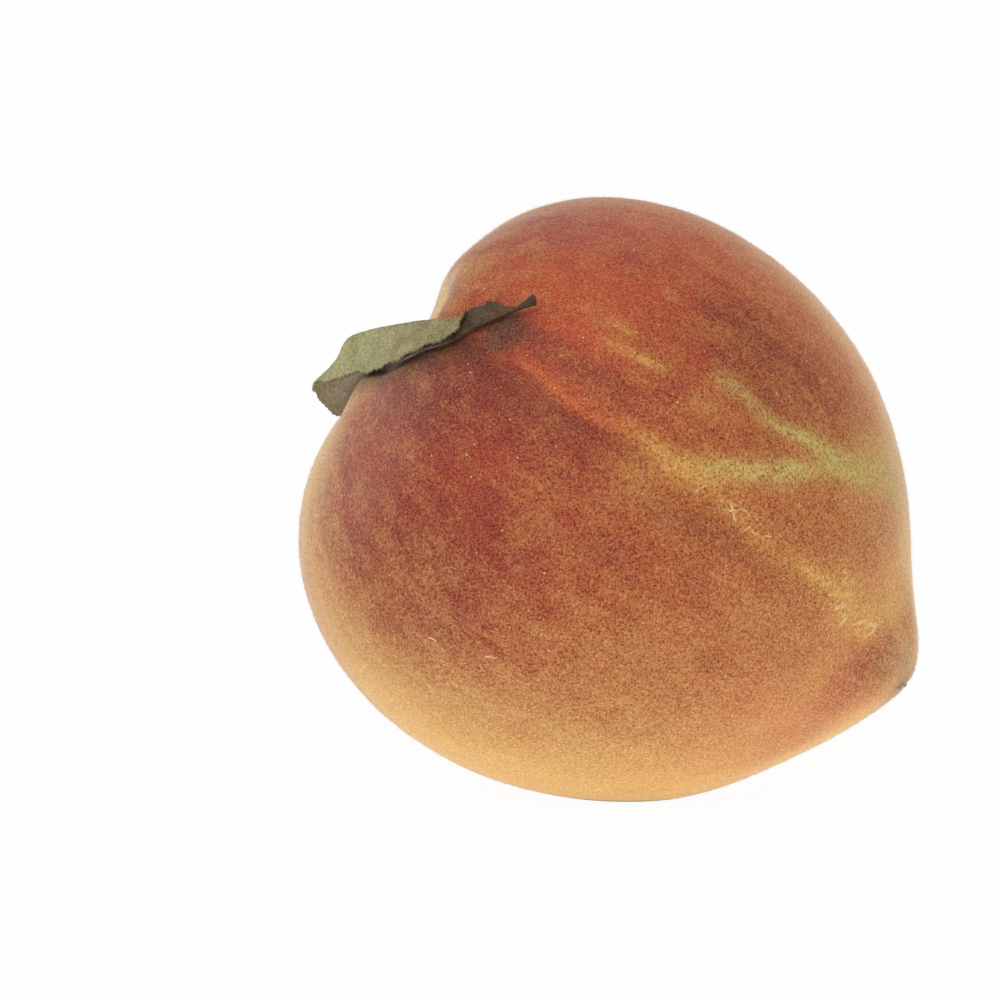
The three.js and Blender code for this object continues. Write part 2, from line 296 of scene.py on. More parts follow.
SKIN_BANDS = {
    "yellow_streak": [
        ("down", [
            (73, 14.6, 1.5, 0), (75, 14.8, 1.3, 0.25), (81, 15.5, 1.3, 0.35), (84, 16, 1.6, 0.5),
            (87, 16.6, 1.6, 0.25), (90, 17, 1.5, 0),
        ]),
        ("down", [(71, 18, 1.5, 0), (74, 19, 1.6, 0.35), (78, 19, 1.6, 0.3), (82, 19, 1.4, 0)]),
        ("down", [(91, 15, 2, 0), (94, 15, 2, 0.3), (97, 16, 2, 0.3), (100, 17.5, 1.5, 0)]),
        ("down", [  # up the crease
            (84, 2, 1.5, 0), (87, 2.6, 1.6, 0.16), (90, 3.3, 1.8, 0.26), (93, 3, 2.4, 0.36),
            (96, 2.4, 2.8, 0.5), (99, 3.2, 3.2, 0.66), (102, 5, 3.8, 0.6), (105, 6, 4.5, 0.42),
            (108, 4.5, 3.5, 0.32), (112, 3.4, 2.6, 0.2), (117, 2.5, 2.6, 0.22), (120, 3.4, 3.5, 0.2),
            (123, 5.4, 3, 0.32), (126, 6.6, 2.4, 0.65), (131, 7.8, 2.4, 0.85), (134, 9, 3, 0.85),
            (137, 8.5, 6, 0.85), (140, 8, 6, 0.6), (143, 9, 5, 0),
        ]),
        ("round", [
            (4, 144, 2, 0), (8, 143.5, 2.5, 0.9), (18, 144, 3, 0.95), (30, 146.5, 3.5, 0.7),
            (52, 148, 4, 0.5), (70, 149, 4, 0),
        ]),
        ("down", [
            (127, 12, 4, 0), (131, 14, 5, 0.5), (136, 15, 6, 0.5), (141, 15, 6, 0.3), (144, 15, 6, 0),
        ]),
    ],
    "green_band": [  # skin that the leaf and twigs shaded: two bands that meet on the upper cheek
        ("round", [
            (3, 98, 2.5, 0), (6, 102, 2.8, 0.3), (8, 104, 3, 0.6), (10, 105.5, 2.8, 0.85),
            (12, 108, 2.8, 0.85), (15, 110.5, 2.8, 0.9), (18, 112.5, 2.5, 0.85), (21, 114, 2.5, 0.7),
            (24, 115.7, 2.5, 0.55), (27, 117, 2.5, 0.6), (31.5, 120, 3, 0.9), (36, 122.5, 3.5, 0.85),
            (42, 124.5, 4, 0.75), (50, 127.5, 5, 0.65), (60, 129, 6, 0.5), (110, 126, 6, 0),
        ]),
        ("down", [
            (92, 21.5, 3, 0), (96, 22.5, 2.2, 0.4), (99, 23.2, 2, 0.45), (102, 23, 2, 0.4),
            (105, 22.8, 2, 0.45), (108, 24.2, 2.1, 0.6), (111, 26.6, 2.2, 0.8), (114, 28.6, 2.4, 0.95),
            (117, 30.8, 2.6, 0.95), (120, 33.2, 2.6, 0.6), (123, 36, 2.6, 0),
        ]),
    ],
    "crease_orange_and_highlight": [  # its upper side: orange skin with a painted highlight, brightest along the fold
        ("down", [
            (61, 2.3, 1.2, 0), (64, 2.2, 1, 0.35), (68, 1.9, 1.2, 0.45), (72, 1.2, 1.2, 0.5),
            (76, 0.7, 1.1, 0.45), (80, 0.6, 1.1, 0.4), (84, 1.2, 1.1, 0.3), (88, 1.8, 1.5, 0.22),
            (92, 2, 2, 0),
        ]),
        ("down", [
            (62, 3, 2.5, 0), (70, 3, 2.6, 0.18), (76, 2.8, 2.8, 0.25), (84, 3, 2.8, 0.2),
            (90, 3.5, 2.8, 0.25), (94, 3.5, 3, 0),
        ]),
    ],
    "maroon_and_painted_shade": [  # painted shade on the lower side of the crease, past its middle
        ("down", [
            (96, -7, 3, 0), (100, -6, 3.5, 0.45), (104, -4.5, 3.5, 0.4), (108, -3, 3, 0.55),
            (112, -2, 3, 0.5), (117, 0, 2, 0),
        ]),
    ],
    "crease_dark": [  # its lower side, painted shade
        ("down", [
            (44, -2, 5, 0), (54, -2, 5, 0.4), (66, -3, 5, 0.4), (74, -3, 4, 0.35), (84, -3, 3.5, 0.35),
            (89, -2, 3, 0.15), (92, -2, 3, 0),
        ]),
    ],
    "leaf_shade": [  # the soft shade along the lower edge of the leaf
        ("round", [
            (-70, 12, 3, 0), (-55, 13, 3, 0.5), (-42, 16, 3, 0.7), (-32, 21.5, 3.2, 0.85),
            (-22, 27.3, 3.3, 0.88), (-16, 32.2, 3.3, 0.9), (-10, 39.6, 3.2, 0.9), (-5, 43.8, 3, 0.82),
            (0, 47.2, 2.8, 0.5), (4, 49.5, 2.6, 0.45), (8, 53, 3, 0.6), (11, 56, 3, 0.5), (14, 59, 3, 0),
        ]),
        ("round", [
            (-60, 19, 3, 0.2), (-40, 23, 3.5, 0.45), (-27.5, 28.5, 3.5, 0.5), (-21.5, 33, 3.5, 0.55),
            (-17, 37, 3.5, 0.4), (-12, 42.5, 3.5, 0.5), (-5, 48.5, 3.5, 0.4), (0, 51.5, 3.5, 0.35),
            (3, 55, 3.5, 0.55), (6, 55.6, 3.5, 0.55), (10, 57, 3.5, 0.45), (13, 59, 3, 0),
        ]),
        ("round", [
            (-6, 52, 4, 0), (0, 55, 4, 0.2), (3, 57.8, 3.5, 0.5), (6, 59, 3.5, 0.45),
            (8.5, 61, 3.5, 0.45), (12, 64, 3, 0),
        ]),
    ],
}


def patch(at_azimuth, at_polar, half_width, half_height, strength, turn=0):
    """An oval of colour on the skin: strength * e^-(distance^3), where the distance is 1 on the
    oval, after the chart of the skin has been turned about the oval's centre."""
    across, down = turn_from(at_azimuth, suture), polar - at_polar
    c, s = np.cos(np.radians(turn)), np.sin(np.radians(turn))
    u, v = (c * across + s * down) / half_width, (c * down - s * across) / half_height
    return strength * np.exp(-(np.hypot(u, v) ** 3))


def band(way, stations):
    """A long band of colour: at each place along it, the strength there times e^-(distance^2),
    where the distance is from the band's centre in half widths."""
    at, centre, half_width, strength = np.array(stations, float).T
    along, across = (polar, suture) if way == "down" else (suture, polar)
    away = (across - np.interp(along, at, centre)) / np.interp(along, at, half_width)
    return np.interp(along, at, strength, left=0, right=0) * np.exp(-(away**2))


for colour_name in {**SKIN_PATCHES, **SKIN_BANDS}:
    bare = np.ones_like(polar)
    for oval in SKIN_PATCHES.get(colour_name, []):
        bare = bare * (1 - patch(*oval))
    for way, stations in SKIN_BANDS.get(colour_name, []):
        bare = bare * (1 - band(way, stations))
    put_attribute(fruit, colour_name, with_poles(1 - bare))

# The streaks of the blush follow the meridians: this attribute is the skin's place on a drum, in
# millimetres, and is squeezed along the meridian, so that a pattern on it comes out drawn out.
DRUM_RADIUS, DRUM_MM_PER_DEGREE, STREAK_STRETCH = 30, 0.7, 5.0
drum = np.stack(
    [
        DRUM_RADIUS * np.cos(np.radians(suture)),
        DRUM_RADIUS * np.sin(np.radians(suture)),
        polar * DRUM_MM_PER_DEGREE / STREAK_STRETCH,
    ],
    axis=-1,
)
put_attribute(fruit, "meridian", with_poles(drum))
NEAR_CREASE = 60  # degrees, past which the crease no longer matters
near_crease = np.clip(from_crease(polar, azimuth), -NEAR_CREASE, NEAR_CREASE)
put_attribute(fruit, "from_crease", with_poles(near_crease))


def colour(hex_value):
    """An sRGB hex colour as linear red, green, blue and full alpha, by the sRGB transfer curve."""
    parts = np.array([int(hex_value[i : i + 2], 16) for i in (1, 3, 5)]) / 255
    linear = np.where(parts <= 0.04045, parts / 12.92, ((parts + 0.055) / 1.055) ** 2.4)
    return (*linear.tolist(), 1.0)


def add_node(tree, kind, inputs=None, **settings):
    """Adds a shader node with its settings, then sets each input, or links it to a given socket."""
    made = tree.nodes.new("ShaderNode" + kind)
    for name, value in settings.items():
        setattr(made, name, value)
    for name, value in (inputs or {}).items():
        if isinstance(value, bpy.types.NodeSocket):
            tree.links.new(value, made.inputs[name])
        else:
            made.inputs[name].default_value = value
    return made


def new_material(name, roughness, specular=0.5):
    """A material whose one shader has this roughness and specular level, its tree and that shader."""
    material = bpy.data.materials.new(name)
    material.use_nodes = True
    tree = material.node_tree
    tree.nodes.clear()
    shader = add_node(tree, "BsdfPrincipled", {"Roughness": roughness, "Specular IOR Level": specular})
    add_node(tree, "OutputMaterial", {"Surface": shader.outputs[0]})
    return material, tree, shader


MIX_FACTOR, MIX_A, MIX_B, MIX_RESULT = 0, 6, 7, 2  # the Mix node's sockets for colours

# Downy peach skin: a thin waxy skin under a felt of pale hairs a fraction of a millimetre long.
# The down scatters light at grazing angles, which gives the pale rim, and keeps it from shining.
skin_material, tree, shader = new_material("downy_peach_skin", 0.7, 0.25)
shader.inputs["Sheen Roughness"].default_value = 0.28
shader.inputs["Sheen Tint"].default_value = colour("#F2E4EC")

# Mottling: streaks of the blush 3 mm wide and blotches of 4.5 mm, added up and brought round zero
STREAK_WIDTH, BLOTCH_SIZE, MOTTLE_CONTRAST = 3.0, 4.5 * METRES, 0.85
place = add_node(tree, "TexCoord").outputs["Object"]
drum_place = add_node(tree, "Attribute", attribute_name="meridian").outputs["Vector"]
streaks = add_node(
    tree, "TexNoise", {"Vector": drum_place, "Scale": 1 / STREAK_WIDTH, "Detail": 5.0, "Roughness": 0.6}
).outputs["Fac"]
blotches = add_node(
    tree, "TexNoise", {"Vector": place, "Scale": 1 / BLOTCH_SIZE, "Detail": 6.0, "Roughness": 0.68}
).outputs["Fac"]
mottle = add_node(tree, "Math", {0: streaks, 1: blotches}, operation="ADD").outputs[0]
mottle = add_node(
    tree, "Math", {0: mottle, 1: MOTTLE_CONTRAST, 2: -MOTTLE_CONTRAST}, operation="MULTIPLY_ADD"
).outputs[0]

# Narrower streaks, in which the red turns to maroon or to scarlet
HUE_STREAK_WIDTH = 1.8
hue = add_node(
    tree,
    "TexNoise",
    {"Vector": drum_place, "Scale": 1 / HUE_STREAK_WIDTH, "Detail": 4.0, "Roughness": 0.6},
).outputs["Fac"]
more_maroon = add_node(
    tree, "MapRange", {"Value": hue, "From Min": 0.5, "From Max": 0.72, "To Max": 0.38}
).outputs[0]
more_scarlet = add_node(
    tree, "MapRange", {"Value": hue, "From Min": 0.5, "From Max": 0.3, "To Max": 0.3}
).outputs[0]

# The stipple: dots a third of a millimetre apart, each with a number of its own from 0 to 1
DOT_SPACING = 0.36 * METRES
dots = add_node(tree, "TexVoronoi", {"Vector": place, "Scale": 1 / DOT_SPACING})
dot_own = add_node(tree, "SeparateColor", {"Color": dots.outputs["Color"]}).outputs["Red"]
dot_swing = add_node(tree, "Math", {0: dot_own, 1: 0.5}, operation="SUBTRACT").outputs[0]


def patch_amount(patch_name, breakup, stippled=0.0):
    """How far a patch covers the skin, as a socket: its amount times 1 + breakup * mottling +
    stippled * the dots' swing from -0.5 to 0.5."""
    amount = add_node(tree, "Attribute", attribute_name=patch_name).outputs["Fac"]
    varied = add_node(tree, "Math", {0: mottle, 1: breakup}, operation="MULTIPLY").outputs[0]
    if stippled:
        varied = add_node(
            tree, "Math", {0: dot_swing, 1: stippled, 2: varied}, operation="MULTIPLY_ADD"
        ).outputs[0]
    return add_node(
        tree, "Math", {0: varied, 1: amount, 2: amount}, operation="MULTIPLY_ADD", use_clamp=True
    ).outputs[0]


def laid_over(under, factor, over):
    """One colour over another, as a socket."""
    return add_node(
        tree, "Mix", {MIX_FACTOR: factor, MIX_A: under, MIX_B: over}, data_type="RGBA"
    ).outputs[MIX_RESULT]


def with_layers(paint, layers):
    """A colour under layers laid on one by one, each (patch, colour, breakup, stippled if it is)."""
    for patch_name, hex_value, *variation in layers:
        paint = laid_over(paint, patch_amount(patch_name, *variation), colour(hex_value))
    return paint


# The ground colour, from golden on the underside, which grew in shade and is painted a little paler for the
# light that wraps round it from the table, to ochre in front and tan at the tip
paint = laid_over(colour("#FADB92"), blotches, colour("#F0C672"))
paint = with_layers(paint, [("ochre_ground", "#C98743", 0.5), ("tip_tan", "#A98A68", 0.5)])

# The blush is laid over it as a crimson stipple: the dots, each with its own size, thin out and
# thicken the red round their mean, and the less so the nearer it is to whole
DOT_MEAN, DOT_CONTRAST, WHOLE_BLUSH = 0.78, 1.0, 1.3
dot_reach = add_node(
    tree, "Math", {0: dot_own, 1: 0.5, 2: dots.outputs["Distance"]}, operation="MULTIPLY_ADD"
).outputs[0]
blush = patch_amount("blush", 0.9)
open_skin = add_node(tree, "Math", {0: WHOLE_BLUSH, 1: blush}, operation="SUBTRACT").outputs[0]
swing = add_node(
    tree, "Math", {0: dot_reach, 1: -DOT_CONTRAST, 2: DOT_CONTRAST * DOT_MEAN}, operation="MULTIPLY_ADD"
).outputs[0]
swing = add_node(tree, "Math", {0: swing, 1: open_skin}, operation="MULTIPLY").outputs[0]
blush = add_node(
    tree, "Math", {0: blush, 1: swing, 2: blush}, operation="MULTIPLY_ADD", use_clamp=True
).outputs[0]
red = laid_over(colour("#983C28"), patch_amount("scarlet_shade", 0.5), colour("#B24A30"))
red = laid_over(red, more_scarlet, colour("#B85232"))
red = laid_over(red, more_maroon, colour("#7A3230"))
# Maroon over the red: the skin's own streaks, and painted shade under the leaf and in the crease
red = laid_over(red, patch_amount("maroon_and_painted_shade", 0.9), colour("#6E2E28"))
paint = laid_over(paint, blush, red)
paint = with_layers(
    paint,
    [
        ("mauve_bloom", "#80606A", 0.4),
        ("dusty_bloom", "#C8A49C", 0.4),  # grey pink, where the down lies thick on the lower cheek
        ("rose_bloom", "#E88458", 0.4),
        # a painted highlight on the stem cavity's rim
        ("cavity_rim_highlight", "#F6DEBE", 0.3),
        ("orange_streak", "#C2653C", 1.8, 0.9),
    ],
)

# The crease parts a painted shade on its lower side from orange skin with a painted highlight on its upper
# side, along a crisp, slightly wandering line
LINE_WANDER, LINE_START, LINE_END = 2.6, 0.8, 1.6  # degrees
past_line = add_node(tree, "Attribute", attribute_name="from_crease").outputs["Fac"]
line_place = add_node(
    tree, "Math", {0: blotches, 1: LINE_WANDER, 2: past_line}, operation="MULTIPLY_ADD"
).outputs[0]
upper_side = add_node(
    tree,
    "MapRange",
    {"Value": line_place, "From Min": LINE_START, "From Max": LINE_END},
    interpolation_type="SMOOTHSTEP",
).outputs[0]
lower_side = add_node(tree, "Math", {0: 1.0, 1: upper_side}, operation="SUBTRACT").outputs[0]
for patch_name, side, hex_value in [
    ("crease_dark", lower_side, "#6A2B25"),
    ("crease_orange_and_highlight", upper_side, "#CC6C3C"),
]:
    amount = add_node(
        tree, "Math", {0: patch_amount(patch_name, 2.0, 0.9), 1: side}, operation="MULTIPLY"
    ).outputs[0]
    paint = laid_over(paint, amount, colour(hex_value))
paint = with_layers(
    paint,
    [
        ("yellow_streak", "#D3A254", 2.4, 0.9),
        ("green_band", "#C0AA60", 1.8, 0.9),
        ("leaf_shade", "#4E382E", 0.3),
        ("style_stain", "#563A22", 0.5),  # where the dried style has browned the skin
    ],
)

# In the middle the cores of the dots show as separate brown specks
SPECK_STRENGTH = 0.38
speck_core = add_node(
    tree,
    "MapRange",
    {"Value": dot_reach, "From Min": 0.7, "From Max": 0.3, "To Max": SPECK_STRENGTH},
    interpolation_type="SMOOTHSTEP",
).outputs[0]
speck_mask = add_node(
    tree, "Math", {0: speck_core, 1: patch_amount("stipple", 0.5)}, operation="MULTIPLY"
).outputs[0]
paint = laid_over(paint, speck_mask, colour("#6A3020"))

# The felt of hairs: a fine grain of light and shade about a quarter of a millimetre across, as
# single hairs are too thin to show
GRAIN_SIZE, GRAIN_DARK, GRAIN_LIGHT = 0.25 * METRES, 0.76, 1.2
grain = add_node(
    tree, "TexNoise", {"Vector": place, "Scale": 1 / GRAIN_SIZE, "Detail": 2.0, "Roughness": 0.6}
).outputs["Fac"]
by_grain = {"Value": grain, "From Min": 0.3, "From Max": 0.7}
shade = add_node(tree, "MapRange", {**by_grain, "To Min": GRAIN_DARK, "To Max": GRAIN_LIGHT}).outputs[0]
paint = add_node(tree, "VectorMath", {0: paint, "Scale": shade}, operation="SCALE").outputs[0]

# The hairs have no colour of their own, so where they catch the light, or keep it off, they add or
# take away as much blue as red, down to nearly black
GLINT, NEARLY_BLACK = 0.035, (0.006, 0.006, 0.006)
glint = add_node(tree, "MapRange", {**by_grain, "To Min": -GLINT, "To Max": GLINT}).outputs[0]
paint = add_node(tree, "VectorMath", {0: paint, 1: glint}, operation="ADD").outputs[0]
paint = add_node(tree, "VectorMath", {0: paint, 1: NEARLY_BLACK}, operation="MAXIMUM").outputs[0]

# Near the tip and on the lower cheek the hairs clump, and the tips of the clumps show as cream
CLUMP_STRENGTH = 0.34
hair_tips = add_node(
    tree, "MapRange", {"Value": grain, "From Min": 0.5, "From Max": 0.68, "To Max": CLUMP_STRENGTH}
).outputs[0]
hair_tips = add_node(
    tree, "Math", {0: hair_tips, 1: patch_amount("hair_clumps", 0.5)}, operation="MULTIPLY"
).outputs[0]
paint = laid_over(paint, hair_tips, colour("#F4C898"))

# Pale flecks about a quarter of a millimetre wide, tufts of hair, on one cell in eight
FLECK_SPACING, FLECK_SHARE, FLECK_STRENGTH = 1.1 * METRES, 0.12, 0.8
flecks = add_node(tree, "TexVoronoi", {"Vector": place, "Scale": 1 / FLECK_SPACING})
fleck_core = add_node(
    tree,
    "MapRange",
    {"Value": flecks.outputs["Distance"], "From Min": 0.13, "From Max": 0.07, "To Max": FLECK_STRENGTH},
    interpolation_type="SMOOTHSTEP",
).outputs[0]
fleck_own = add_node(tree, "SeparateColor", {"Color": flecks.outputs["Color"]}).outputs["Green"]
fleck_pick = add_node(
    tree, "Math", {0: fleck_own, 1: 1 - FLECK_SHARE}, operation="GREATER_THAN"
).outputs[0]
fleck_mask = add_node(tree, "Math", {0: fleck_core, 1: fleck_pick}, operation="MULTIPLY").outputs[0]
paint = laid_over(paint, fleck_mask, colour("#F0CDB0"))
tree.links.new(paint, shader.inputs["Base Color"])

# The felt's pale gleam follows the same grain, and fades in the shade of the leaf
GLEAM_LEAST, GLEAM_MOST = 0.25, 0.95
felt = add_node(tree, "MapRange", {**by_grain, "To Min": GLEAM_LEAST, "To Max": GLEAM_MOST}).outputs[0]
in_light = add_node(
    tree, "Math", {0: 1.0, 1: patch_amount("leaf_shade", 0.3)}, operation="SUBTRACT"
).outputs[0]
felt = add_node(tree, "Math", {0: felt, 1: in_light}, operation="MULTIPLY").outputs[0]
tree.links.new(felt, shader.inputs["Sheen Weight"])

bump = add_node(tree, "Bump", {"Height": grain, "Strength": 0.6, "Distance": 0.05 * METRES}).outputs[0]
tree.links.new(bump, shader.inputs["Normal"])
fruit.data.materials.append(skin_material)
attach(fruit, "root")
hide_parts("fruit")

# ---- Healed scratches and wrinkles ----
# Fine cracks in the skin along the crease, and two scratches on the lower cheek, that the fruit
# closed with pale cork as it grew, and a few yellow wrinkles of the skin near the tip. Each is a
# low rounded ridge that tapers to both ends.

RIDGE_STEPS, RIDGE_SIDES, RIDGE_RISE = 20, 8, 0.45
CRACK_WIDTH, SCRATCH_WIDTH, WRINKLE_WIDTH = 0.26, 0.28, 0.65
FLAKE_SIZE = 0.7 * METRES
CRACKS = [  # (degrees from the suture, polar angle) along each
    [(0.7, 102.5), (1.8, 102.6), (2.7, 102.8), (3.6, 103.2), (4.4, 103.5), (5.1, 104)],
    [(2.5, 102.6), (2.4, 103), (2.2, 103.3)],
    [(4.3, 107.7), (3.7, 108.4), (3.3, 109.1)],
    [(2.1, 107.8), (2.8, 108.5), (3.3, 109.1)],
    [(3.2, 109.1), (2.4, 109.8), (2, 110.4)],
    [(3.4, 109.2), (4.1, 109.5), (4.9, 110.2), (5.1, 110.9), (4.9, 111.7), (4.4, 112.3)],
    [(3.7, 112.8), (2.7, 112.7), (1.5, 112.3)],
    [(3.1, 113.2), (2.8, 114), (3.7, 114.7)],
    [(4, 115.6), (4.5, 116.1), (5.2, 116.8)],
    [(3.8, 115.5), (3, 115.9)],
]
SCRATCHES = [[(-56.4, 81.8), (-55.8, 82.6), (-55.7, 83.6)], [(-51.3, 91.6), (-50.5, 92.3), (-50, 93.2)]]
WRINKLES = [
    [(3, 138), (5, 138), (8, 138.3)],
    [(7.5, 140.5), (11, 141.7), (14, 142.8)],
    [(10, 143.7), (14, 144), (16, 145.3), (14, 146), (7, 144.7)],
    [(8, 137.4), (5.6, 137.4)],
    [(5, 135), (7, 135.3), (9, 136.4)],
]


def smooth_curve(points, share, slope=0.5):
    """Points along a cardinal curve: on the stretch between two knots, a cubic whose slope at a
    knot is a part (half, for Catmull-Rom) of the step between its neighbours. The ends are carried
    on by their own last step."""
    knots = np.concatenate([2 * points[:1] - points[1:2], points, 2 * points[-1:] - points[-2:-1]])
    reach = np.asarray(share) * (len(points) - 1)
    index = np.clip(reach.astype(int), 0, len(points) - 2)
    f = (reach - index).reshape(reach.shape + (1,) * (points.ndim - 1))
    a, b, c, d = (knots[index + i] for i in range(4))
    start_slope, end_slope = slope * (c - a), slope * (d - b)
    step = c - b
    cubic = (3 * step - 2 * start_slope - end_slope) * f**2 + (start_slope + end_slope - 2 * step) * f**3
    return b + start_slope * f + cubic


def ridge(name, stations, width):
    """A closed tube along a curve on the skin. At each step a ring of points stands at an angle
    round the path, made of the outward direction and the direction across, and its size is the
    root of the sine of the way along, so that it shrinks to nothing at both ends."""
    spots = smooth_curve(np.array(stations, float), np.linspace(0, 1, RIDGE_STEPS))
    path, out = finished_skin(spots[:, 1], spots[:, 0] + SUTURE_AZIMUTH)
    side = np.cross(np.gradient(path, axis=0), out)
    side /= np.linalg.norm(side, axis=1, keepdims=True)
    angle = 2 * np.pi * np.arange(RIDGE_SIDES) / RIDGE_SIDES
    size = width / 2 * np.sqrt(np.sin(np.pi * np.linspace(0, 1, RIDGE_STEPS)[1:-1]))[:, None, None]
    ring = np.cos(angle)[None, :, None] * side[1:-1, None]
    ring = ring + RIDGE_RISE * np.sin(angle)[None, :, None] * out[1:-1, None]
    return closed_surface(name, path[1:-1, None] + size * ring, path[0], path[-1])


# Dry cork: matt and pale straw, a little darker where it is thin. Wrinkled skin: yellow, where the
# blush never reached it.
for kind, lines, width, dark, light in [
    ("crack_cork", CRACKS, CRACK_WIDTH, "#B68248", "#E6C48C"),
    ("scratch_cork", SCRATCHES, SCRATCH_WIDTH, "#C89C68", "#ECD0A0"),
    ("wrinkled_skin", WRINKLES, WRINKLE_WIDTH, "#D4A060", "#E8C488"),
]:
    ridge_material, tree, shader = new_material(kind, 0.85)
    place = add_node(tree, "TexCoord").outputs["Object"]
    flake = add_node(
        tree, "TexNoise", {"Vector": place, "Scale": 1 / FLAKE_SIZE, "Detail": 4.0, "Roughness": 0.7}
    ).outputs["Fac"]
    flake = add_node(tree, "MapRange", {"Value": flake, "From Min": 0.38, "From Max": 0.62}).outputs[0]
    tree.links.new(laid_over(colour(dark), flake, colour(light)), shader.inputs["Base Color"])
    for number, stations in enumerate(lines):
        piece = ridge(f"{kind}_{number:02d}", stations, width)
        piece.data.materials.append(ridge_material)
        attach(piece, "root")

# ---- Leaf ----
# One small leaf that fell on the fruit and dried there. Its stalk end stands up as a twisted dark
# trough, and the rest is folded over along a crest, so that one half hangs forwards, pale side out,
# over the shoulder, and the other half lies back over the cavity.

NEAR_MARGIN = [
    (-11.5, -24.3, 66.8), (-12.7, -23.8, 65.8), (-14, -23.1, 65), (-16.5, -22, 65.3), (-18.2, -20.5, 64.7),
    (-20.4, -21.5, 63.6), (-21.4, -22.5, 61.8), (-25, -20, 59.9), (-28, -17.8, 58), (-31.4, -10.7, 55),
    (-34.5, -5.2, 53.9), (-36.9, -1.6, 52.4), (-39, 1.5, 51.5),
]
CREST = [
    (-11.4, -24.6, 66.6), (-12.7, -24.1, 65.7), (-14, -23.5, 65), (-16.5, -22.7, 64.6), (-18.4, -22, 64),
    (-20.5, -21, 63.4), (-22.5, -19.5, 63), (-25.5, -15.5, 62.1), (-28.5, -11, 60.9), (-32, -7, 59.5),
    (-34.7, -3.7, 57.8), (-36.2, -1.2, 54.7), (-39.1, 1.7, 51.3),
]
MIDRIB = [
    (-11.3, -24.6, 66.2), (-12.7, -24.1, 65.5), (-14, -23.5, 64.9), (-16.6, -22.6, 63.6),
    (-19, -22.1, 62.4), (-20.6, -21.7, 61.4), (-22.1, -21, 60.4), (-25.2, -19.1, 59.1),
    (-28.3, -16.6, 57.3), (-31.7, -7, 55.7), (-34.4, -1.5, 54.2), (-36.6, 1.5, 52.4), (-39.2, 1.8, 51.1),
]
FAR_MARGIN = [
    (-11.2, -24.2, 65.8), (-12.7, -23.8, 65.3), (-14, -23, 64.6), (-16.9, -22, 63.4), (-19.6, -21.2, 62.2),
    (-21.3, -20.5, 61.6), (-23.1, -18.8, 61.2), (-26, -13.5, 60.3), (-30.5, -4, 58.1), (-33, 3.3, 51.5),
    (-35.6, 8, 46.5), (-38, 5.3, 48.5), (-39.2, 2.2, 50.7),
]
LEAF_THICKNESS, STALK_THICKNESS, STALK_SHARE, STALK_FADE = 0.3, 0.7, 2 / 12, 0.06
MARGIN_SHARE, MARGIN_THINNING = 0.01, 0.4
FOLD_SLOPE = 0.3  # lower than a Catmull-Rom curve's 0.5, as a dry leaf folds sharply
LEAF_ROWS, LEAF_COLUMNS = 440, 90

along_line = np.arange(1, LEAF_ROWS) / LEAF_ROWS
across_line = np.linspace(0, 1, LEAF_COLUMNS)
guides = np.array([NEAR_MARGIN, CREST, MIDRIB, FAR_MARGIN]).transpose(1, 0, 2)
sections = smooth_curve(guides, along_line)
blade = smooth_curve(sections.transpose(1, 0, 2), across_line, FOLD_SLOPE).transpose(1, 0, 2)
along, across = np.meshgrid(along_line, across_line, indexing="ij")
on_blade = np.clip((along - STALK_SHARE) / STALK_FADE, 0, 1)
blade_normal = np.cross(np.gradient(blade, axis=0), np.gradient(blade, axis=1))
blade_normal /= np.linalg.norm(blade_normal, axis=-1, keepdims=True)

# Saw teeth 0.7 to 0.9 mm long along both margins and shallow bites out of them, which die away
# inwards with the twelfth power of the way across. Then a crinkle that both halves share, as they
# dried together: it moves the blade towards the front and up.
TOOTH_SHARE, TOOTH_DEPTH, BITE_SHARE, BITE_DEPTH = 1 / 62, 0.34, 1 / 20, 0.3
BROAD_CRINKLE, BROAD_SPACING, FINE_CRINKLE, FINE_SPACING = 0.1, 3.2, 0.05, 1.4
FRONT_AND_UP = np.array([0, -0.94, 0.34])
sideways = np.gradient(blade, axis=1)
sideways /= np.linalg.norm(sideways, axis=-1, keepdims=True)
tooth = ((along / TOOTH_SHARE) % 1) ** 1.5 * TOOTH_DEPTH * on_blade * bell(along, 0.5, 0.47, 6)
along_only = np.stack([along, 0 * along, 0 * along], axis=-1)
bites = BITE_DEPTH * ripple(along_only, BITE_SHARE, seed=14) * on_blade
outwards = across**12 - (1 - across) ** 12
blade = blade + sideways * ((tooth + bites) * outwards)[..., None]
crinkle = BROAD_CRINKLE * ripple(blade, BROAD_SPACING, seed=11)
crinkle += FINE_CRINKLE * ripple(blade, FINE_SPACING, seed=12)
blade = blade + FRONT_AND_UP * (crinkle * on_blade)[..., None]

# The veins: a midrib that thins towards the tip, and side veins that leave it at a slant and fade
# at the margins. They stand out on the under side and are sunk into the upper one.
RIB_HEIGHT, RIB_WIDTH, RIB_THINNING = 0.16, 0.02, 0.6
VEIN_HEIGHT, VEIN_WIDTH, VEIN_COUNT, VEIN_SLANT = 0.06, 0.09, 17, 0.22
VEIN_OUT, VEIN_SUNK = 0.5, 0.3
from_midrib = np.abs(across - 0.5) * 2
rib = bell(across, 0.5, RIB_WIDTH) * (1 - RIB_THINNING * along)
vein_phase = (along - VEIN_SLANT * from_midrib) * VEIN_COUNT
side_veins = bell((vein_phase % 1) - 0.5, 0, VEIN_WIDTH) * np.clip(1.1 - from_midrib, 0, 1)
vein_height = (RIB_HEIGHT * rib + VEIN_HEIGHT * side_veins) * on_blade
stalk = 1 - np.clip(along / STALK_SHARE, 0, 1)
half = (LEAF_THICKNESS + (STALK_THICKNESS - LEAF_THICKNESS) * stalk) / 2
half = half * np.where((across < MARGIN_SHARE) | (across > 1 - MARGIN_SHARE), MARGIN_THINNING, 1.0)
